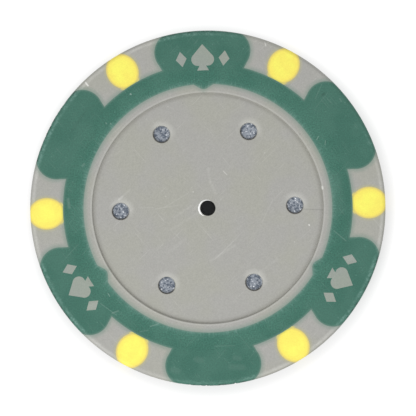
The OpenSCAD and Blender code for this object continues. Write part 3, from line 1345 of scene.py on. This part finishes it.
class RoundedMesh:
    """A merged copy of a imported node's mesh, its rims made rounder and its shading smooth."""

    merge_gap = 0.0002 * MM
    level_gap = 0.001 * MM
    flat_turn = math.radians(0.3)
    least_fold = math.radians(1)
    corner_turn = math.radians(32)
    longest_step = 0.12

    def __init__(self, node: str) -> None:
        """Copies and merges the node's mesh.

        Args:
            node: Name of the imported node.
        """
        self.node = node
        self.bm = bmesh.new()
        self.bm.from_mesh(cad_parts[node].data)
        bmesh.ops.remove_doubles(self.bm, verts=self.bm.verts, dist=self.merge_gap)
        bmesh.ops.dissolve_limit(
            self.bm,
            angle_limit=self.flat_turn,
            use_dissolve_boundaries=False,
            verts=self.bm.verts,
            edges=self.bm.edges,
        )

    def round_rims(self, cuts: int) -> None:
        """Splits each edge that lies on a circle round the chip's axis, out onto that circle.

        Args:
            cuts: How many times each edge is cut.
        """
        radius_of = self.bm.verts.layers.float.new("circle_r")
        for vert in self.bm.verts:
            vert[radius_of] = vert.co.xy.length
        on_circle = [edge for edge in self.bm.edges if self.is_rim(edge)]
        cut = bmesh.ops.subdivide_edges(self.bm, edges=on_circle, cuts=cuts)
        for vert in cut["geom_inner"]:
            if isinstance(vert, bmesh.types.BMVert):
                vert.co.xy *= vert[radius_of] / vert.co.xy.length
        self.bm.verts.layers.float.remove(radius_of)

    @classmethod
    def is_rim(cls, edge: bmesh.types.BMEdge) -> bool:
        """Says whether an edge is a short step along a circle round the chip's axis.

        Args:
            edge: The edge.

        Returns:
            Whether it is.
        """
        first, last = (vert.co for vert in edge.verts)
        same_r = abs(first.xy.length - last.xy.length) < cls.level_gap
        same_z = abs(first.z - last.z) < cls.level_gap
        short = edge.calc_length() < cls.longest_step * first.xy.length
        folded = edge.is_manifold and edge.calc_face_angle() > cls.least_fold
        return same_r and same_z and short and folded

    def fray_rim(self, rim_r: float, fray: "RimFray") -> None:
        """Pulls the rim in by uneven amounts, so that it looks torn from above.

        Args:
            rim_r: Radius of the rim.
            fray: Where and how deep it is torn.
        """
        chance = random.Random(fray.seed)
        bites = [chance.random() ** 2 for _ in range(fray.teeth)]
        for vert in self.bm.verts:
            turn = math.atan2(vert.co.y, vert.co.x) % math.tau
            bite = bites[int(turn / math.tau * fray.teeth) % fray.teeth]
            limit = rim_r - fray.depth_at(turn) * bite
            radius = vert.co.xy.length
            if radius > limit:
                vert.co.xy *= limit / radius

    def finished(self, name: str) -> bpy.types.Mesh:
        """Writes the mesh with smooth shading, sharp where two surfaces meet at a corner.

        Args:
            name: Name of the new mesh.

        Returns:
            The mesh.
        """
        mesh = bpy.data.meshes.new(name)
        self.bm.to_mesh(mesh)
        self.bm.free()
        mesh.shade_smooth()
        mesh.set_sharp_from_angle(angle=self.corner_turn)
        return mesh


@dataclass(frozen=True)
class RimFray:
    """Places where the parting of the mould left the rim torn."""

    depth: float = 0.12 * MM
    teeth: int = 800
    half_sweep: float = math.radians(12)
    places: tuple[tuple[float, float], ...] = ((math.radians(270), 1.0), (math.radians(150), 0.4))
    seed: int = 3

    def depth_at(self, turn: float) -> float:
        """Depth of the deepest tear at an angle.

        Args:
            turn: Angle about the chip's axis, from +X.

        Returns:
            The depth, 0 away from all the places.
        """
        shares = (
            share * max(0.0, 1 - abs(math.remainder(turn - middle, math.tau)) / self.half_sweep)
            for middle, share in self.places
        )
        return self.depth * min(1.0, 2 * max(shares))


@dataclass
class MouldedPiece:
    """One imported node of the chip, dressed in its finish."""

    node: str
    name: str
    slot: Slot
    finish: Finish
    rim_cuts: int = 3
    fray: Union[RimFray, None] = None

    def build(self, sizes: ChipSizes) -> bpy.types.Object:
        """Makes the piece that is shown in the node's place.

        Args:
            sizes: Sizes of the chip.

        Returns:
            The new object.
        """
        shape = RoundedMesh(self.node)
        shape.round_rims(self.rim_cuts)
        if self.fray:
            shape.fray_rim(sizes.rim_r, self.fray)
        piece = bpy.data.objects.new(self.name, shape.finished(self.name))
        weighted = piece.modifiers.new("flat_faces_stay_flat", "WEIGHTED_NORMAL")
        weighted.keep_sharp = True
        weighted.weight = 100
        return dressed(piece, self.finish, sizes, self.node)


def dressed(
    piece: bpy.types.Object, finish: Finish, sizes: ChipSizes, node: str = ""
) -> bpy.types.Object:
    """Gives a piece its finish and ties it to the frame.

    Args:
        piece: The finished object, at the origin.
        finish: What it is dressed in.
        sizes: Sizes of the chip.
        node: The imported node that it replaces, if it replaces one.

    Returns:
        The same object.
    """
    bpy.context.scene.collection.objects.link(piece)
    piece.data.materials.clear()
    piece.data.materials.append(material_of(finish, sizes))
    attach(piece, BODY)
    if node:
        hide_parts(node)
    LOG.info("%s: %d faces, %s", piece.name, len(piece.data.polygons), finish.name)
    return piece


@dataclass
class Slug:
    """Steel disc inside the chip, seen at the bottom of the pin holes."""

    finish: SlugSteel = SlugSteel()

    def build(self, sizes: ChipSizes) -> list[bpy.types.Object]:
        """Builds the slug."""
        return [MouldedPiece("steel_slug", "slug_disc", Slot.SLUG, self.finish).build(sizes)]


@dataclass
class GreyMoulding:
    """First shot, with the burr that stands at the centre hole."""

    finish: GreyPlastic = GreyPlastic()
    burr_finish: BurrHighlight = BurrHighlight()
    burr_section: tuple[Point, ...] = ((0.0, 0.0), (1.0, 0.0), (0.7, 1.0), (0.2, 1.3))
    burr_w: float = 0.3 * MM
    burr_h: float = 0.12 * MM
    burr_sunk: float = 0.01 * MM
    burr_start: float = math.radians(60)
    burr_peak: float = math.radians(190)
    burr_end: float = math.radians(262)
    burr_steps: int = 48
    burr_evenness: float = 0.86
    least_size: float = 0.03
    least_height: float = 0.2
    seed: int = 7

    def build(self, sizes: ChipSizes) -> list[bpy.types.Object]:
        """Builds the moulding and its burr."""
        body = MouldedPiece("grey_body", "grey_moulding", Slot.GREY, self.finish).build(sizes)
        return [body, self.burr(sizes)]

    def burr(self, sizes: ChipSizes) -> bpy.types.Object:
        """Makes the ragged crescent of torn plastic on one side of the centre hole, its near-white
        colour a painted highlight.

        Args:
            sizes: Sizes of the chip.

        Returns:
            The burr.
        """
        bm = bmesh.new()
        foot = sizes.recess_floor - self.burr_sunk
        section = [
            bm.verts.new((sizes.hole_r + across * self.burr_w, 0.0, foot + up * self.burr_h))
            for across, up in self.burr_section
        ]
        face = bm.faces.new(section)
        turned = Matrix.Rotation(self.burr_start, 3, "Z")
        bmesh.ops.rotate(bm, verts=bm.verts, cent=(0.0, 0.0, 0.0), matrix=turned)
        bmesh.ops.spin(
            bm,
            geom=[face, *face.edges, *face.verts],
            cent=(0.0, 0.0, 0.0),
            axis=(0.0, 0.0, 1.0),
            angle=self.burr_end - self.burr_start,
            steps=self.burr_steps,
        )
        self.fray(bm, sizes.hole_r, foot)
        bmesh.ops.recalc_face_normals(bm, faces=bm.faces)
        mesh = bpy.data.meshes.new("centre_burr")
        bm.to_mesh(mesh)
        bm.free()
        mesh.shade_smooth()
        piece = bpy.data.objects.new("centre_burr", mesh)
        return dressed(piece, self.burr_finish, sizes)

    def fray(self, bm: bmesh.types.BMesh, hole_r: float, foot: float) -> None:
        """Thins the burr towards its ends and makes its crest and foot ragged.

        Args:
            bm: The burr, in even thickness.
            hole_r: Radius of the centre hole.
            foot: Level of the burr's foot.
        """
        chance = random.Random(self.seed)
        ragged = [chance.uniform(self.burr_evenness, 1.0) for _ in range(self.burr_steps + 1)]
        for vert in bm.verts:
            turn = math.atan2(vert.co.y, vert.co.x) % math.tau
            sweep = self.burr_end - self.burr_start
            step = round((turn - self.burr_start) / sweep * self.burr_steps)
            end = self.burr_start if turn < self.burr_peak else self.burr_end
            from_peak = min((turn - self.burr_peak) / (end - self.burr_peak), 1.0)
            swell = math.cos(from_peak * math.pi / 2)
            size = max(swell, self.least_size) * ragged[min(max(step, 0), self.burr_steps)]
            radius = vert.co.xy.length
            vert.co.xy *= (hole_r + (radius - hole_r) * size) / radius
            vert.co.z = foot + (vert.co.z - foot) * max(size, self.least_height)


@dataclass
class GreenMoulding:
    """Second shot: the lobed ring of both faces."""

    finish: GreenPlastic = GreenPlastic()

    def build(self, sizes: ChipSizes) -> list[bpy.types.Object]:
        """Builds the moulding."""
        piece = MouldedPiece(
            "green_inlay", "green_moulding", Slot.GREEN, self.finish, rim_cuts=7, fray=RimFray()
        )
        return [piece.build(sizes)]


@dataclass
class YellowSpots:
    """Third shot: the spots that fill the rim between two lobes."""

    finish: YellowPlastic = YellowPlastic()

    def build(self, sizes: ChipSizes) -> list[bpy.types.Object]:
        """Builds one piece for each spot."""
        return [
            MouldedPiece(
                f"yellow_spot_{number}", f"yellow_filling_{number}", Slot.YELLOW, self.finish
            ).build(sizes)
            for number in range(1, sizes.lobe_count + 1)
        ]


@dataclass
class Studio:
    """Pale floor, soft light and the camera that looks straight down."""

    frame_w: float = 45.66 * MM
    camera_x: float = 0.017 * MM
    camera_y: float = 0.018 * MM
    camera_turn: float = math.radians(-2.0)
    camera_height: float = 0.4
    floor_size: float = 2.0
    key_turn: float = math.radians(243)
    key_rise: float = math.radians(45)
    key_distance: float = 0.2
    key_size: float = 0.09
    key_power: float = 0.14
    sky: float = 0.78
    floor_albedo: float = 0.3
    # painted shade: the floor's colour under the chip, seen through the centre hole
    under_chip_shade_albedo: float = 0.2
    under_w: float = 0.4 * MM
    shade_shift: float = 0.6 * MM
    shade_turn: float = math.radians(288)
    shade_start: float = 0.55 * MM
    shade_w: float = 3.2 * MM
    shade_glow: float = 0.635
    bounce: float = 0.3

    def build(self, sizes: ChipSizes) -> None:
        """Builds the floor, the lights and the camera.

        Args:
            sizes: Sizes of the chip.
        """
        self.floor(sizes)
        self.key()
        self.world()
        self.camera()

    def camera(self) -> None:
        """Makes the camera, straight above the chip."""
        data = bpy.data.cameras.new("camera")
        data.type = "ORTHO"
        data.ortho_scale = self.frame_w
        camera = bpy.data.objects.new("camera", data)
        camera.location = (self.camera_x, self.camera_y, self.camera_height)
        camera.rotation_euler = (0.0, 0.0, self.camera_turn)
        data.clip_start = self.camera_height / 100
        bpy.context.scene.collection.objects.link(camera)
        bpy.context.scene.camera = camera

    def key(self) -> None:
        """Makes the soft lamp that lights the chip from one side."""
        data = bpy.data.lights.new("key", "AREA")
        data.shape = "DISK"
        data.size = self.key_size
        data.energy = self.key_power
        lamp = bpy.data.objects.new("key", data)
        flat = self.key_distance * math.cos(self.key_rise)
        lamp.location = (
            flat * math.cos(self.key_turn),
            flat * math.sin(self.key_turn),
            self.key_distance * math.sin(self.key_rise),
        )
        lamp.rotation_euler = (-Vector(lamp.location)).to_track_quat("-Z", "Y").to_euler()
        bpy.context.scene.collection.objects.link(lamp)

    def world(self) -> None:
        """Makes an even sky that is white to the camera and in reflections."""
        world = bpy.data.worlds.new("studio")
        graph = Graph.emptied(world)
        strength = graph.spread(self.seen(graph), self.sky, 1.0)
        background = graph.add("Background", WHITE, strength)
        graph.add("OutputWorld", background.outputs[0])
        bpy.context.scene.world = world

    @staticmethod
    def seen(graph: Graph) -> Socket:
        """Says whether a ray comes from the camera or from a reflection or glass.

        Args:
            graph: The tree.

        Returns:
            1 for such a ray, and 0 for another.
        """
        rays = graph.add("LightPath").outputs
        mirrored = graph.most(rays["Is Glossy Ray"], rays["Is Transmission Ray"])
        return graph.most(rays["Is Camera Ray"], mirrored)

    def floor(self, sizes: ChipSizes) -> None:
        """Makes the floor, which looks white and takes the chip's shadow, with a painted shadow
        round the chip and painted shade under it.

        Args:
            sizes: Sizes of the chip.
        """
        bm = bmesh.new()
        bmesh.ops.create_grid(bm, x_segments=1, y_segments=1, size=self.floor_size / 2)
        mesh = bpy.data.meshes.new("floor")
        bm.to_mesh(mesh)
        bm.free()
        floor = bpy.data.objects.new("floor", mesh)
        bpy.context.scene.collection.objects.link(floor)
        material = bpy.data.materials.new("studio_floor")
        graph = Graph.emptied(material)
        place = graph.add("TexCoord").outputs["Object"]
        radius = graph.add("VectorMath", place, operation="LENGTH").outputs["Value"]
        under = graph.span(radius, sizes.rim_r - self.under_w, sizes.rim_r)
        # painted shadow: the glow is dimmed in a band round the chip, shifted to one side
        shifted = graph.away(place, level_vector(self.shade_turn, self.shade_shift))
        start = sizes.rim_r - self.shade_start
        clear = graph.span(shifted, start, start + self.shade_w)
        away = graph.spread(clear, self.shade_glow, 1.0)
        taken_in = graph.most(self.seen(graph), self.bounce)
        glow = graph.times(graph.times(under, away), taken_in)
        # painted shade: the floor is darker under the chip, where it shows through the centre hole
        lit = graph.spread(under, self.under_chip_shade_albedo, self.floor_albedo)
        matt = graph.add("BsdfDiffuse", graph.scaled(WHITE, lit))
        light = graph.add("Emission", WHITE, glow)
        both = graph.add("AddShader", matt.outputs[0], light.outputs[0])
        graph.add("OutputMaterial", both.outputs[0])
        mesh.materials.append(material)


def main() -> None:
    """Builds the studio and the chip's pieces, in the order in which they are moulded."""
    logging.basicConfig(level=logging.INFO, format="%(name)s: %(message)s")
    bpy.context.scene.view_settings.view_transform = "Standard"
    sizes = ChipSizes.measured()
    ChipPlaces.sizes = sizes
    PinMouths.sizes = sizes
    RimHighlightAndNicks.sizes = sizes
    Studio().build(sizes)
    for part in (Slug(), GreyMoulding(), GreenMoulding(), YellowSpots()):
        for piece in part.build(sizes):
            LOG.info("%s is in place", piece.name)


if __name__ == "__main__":
    main()
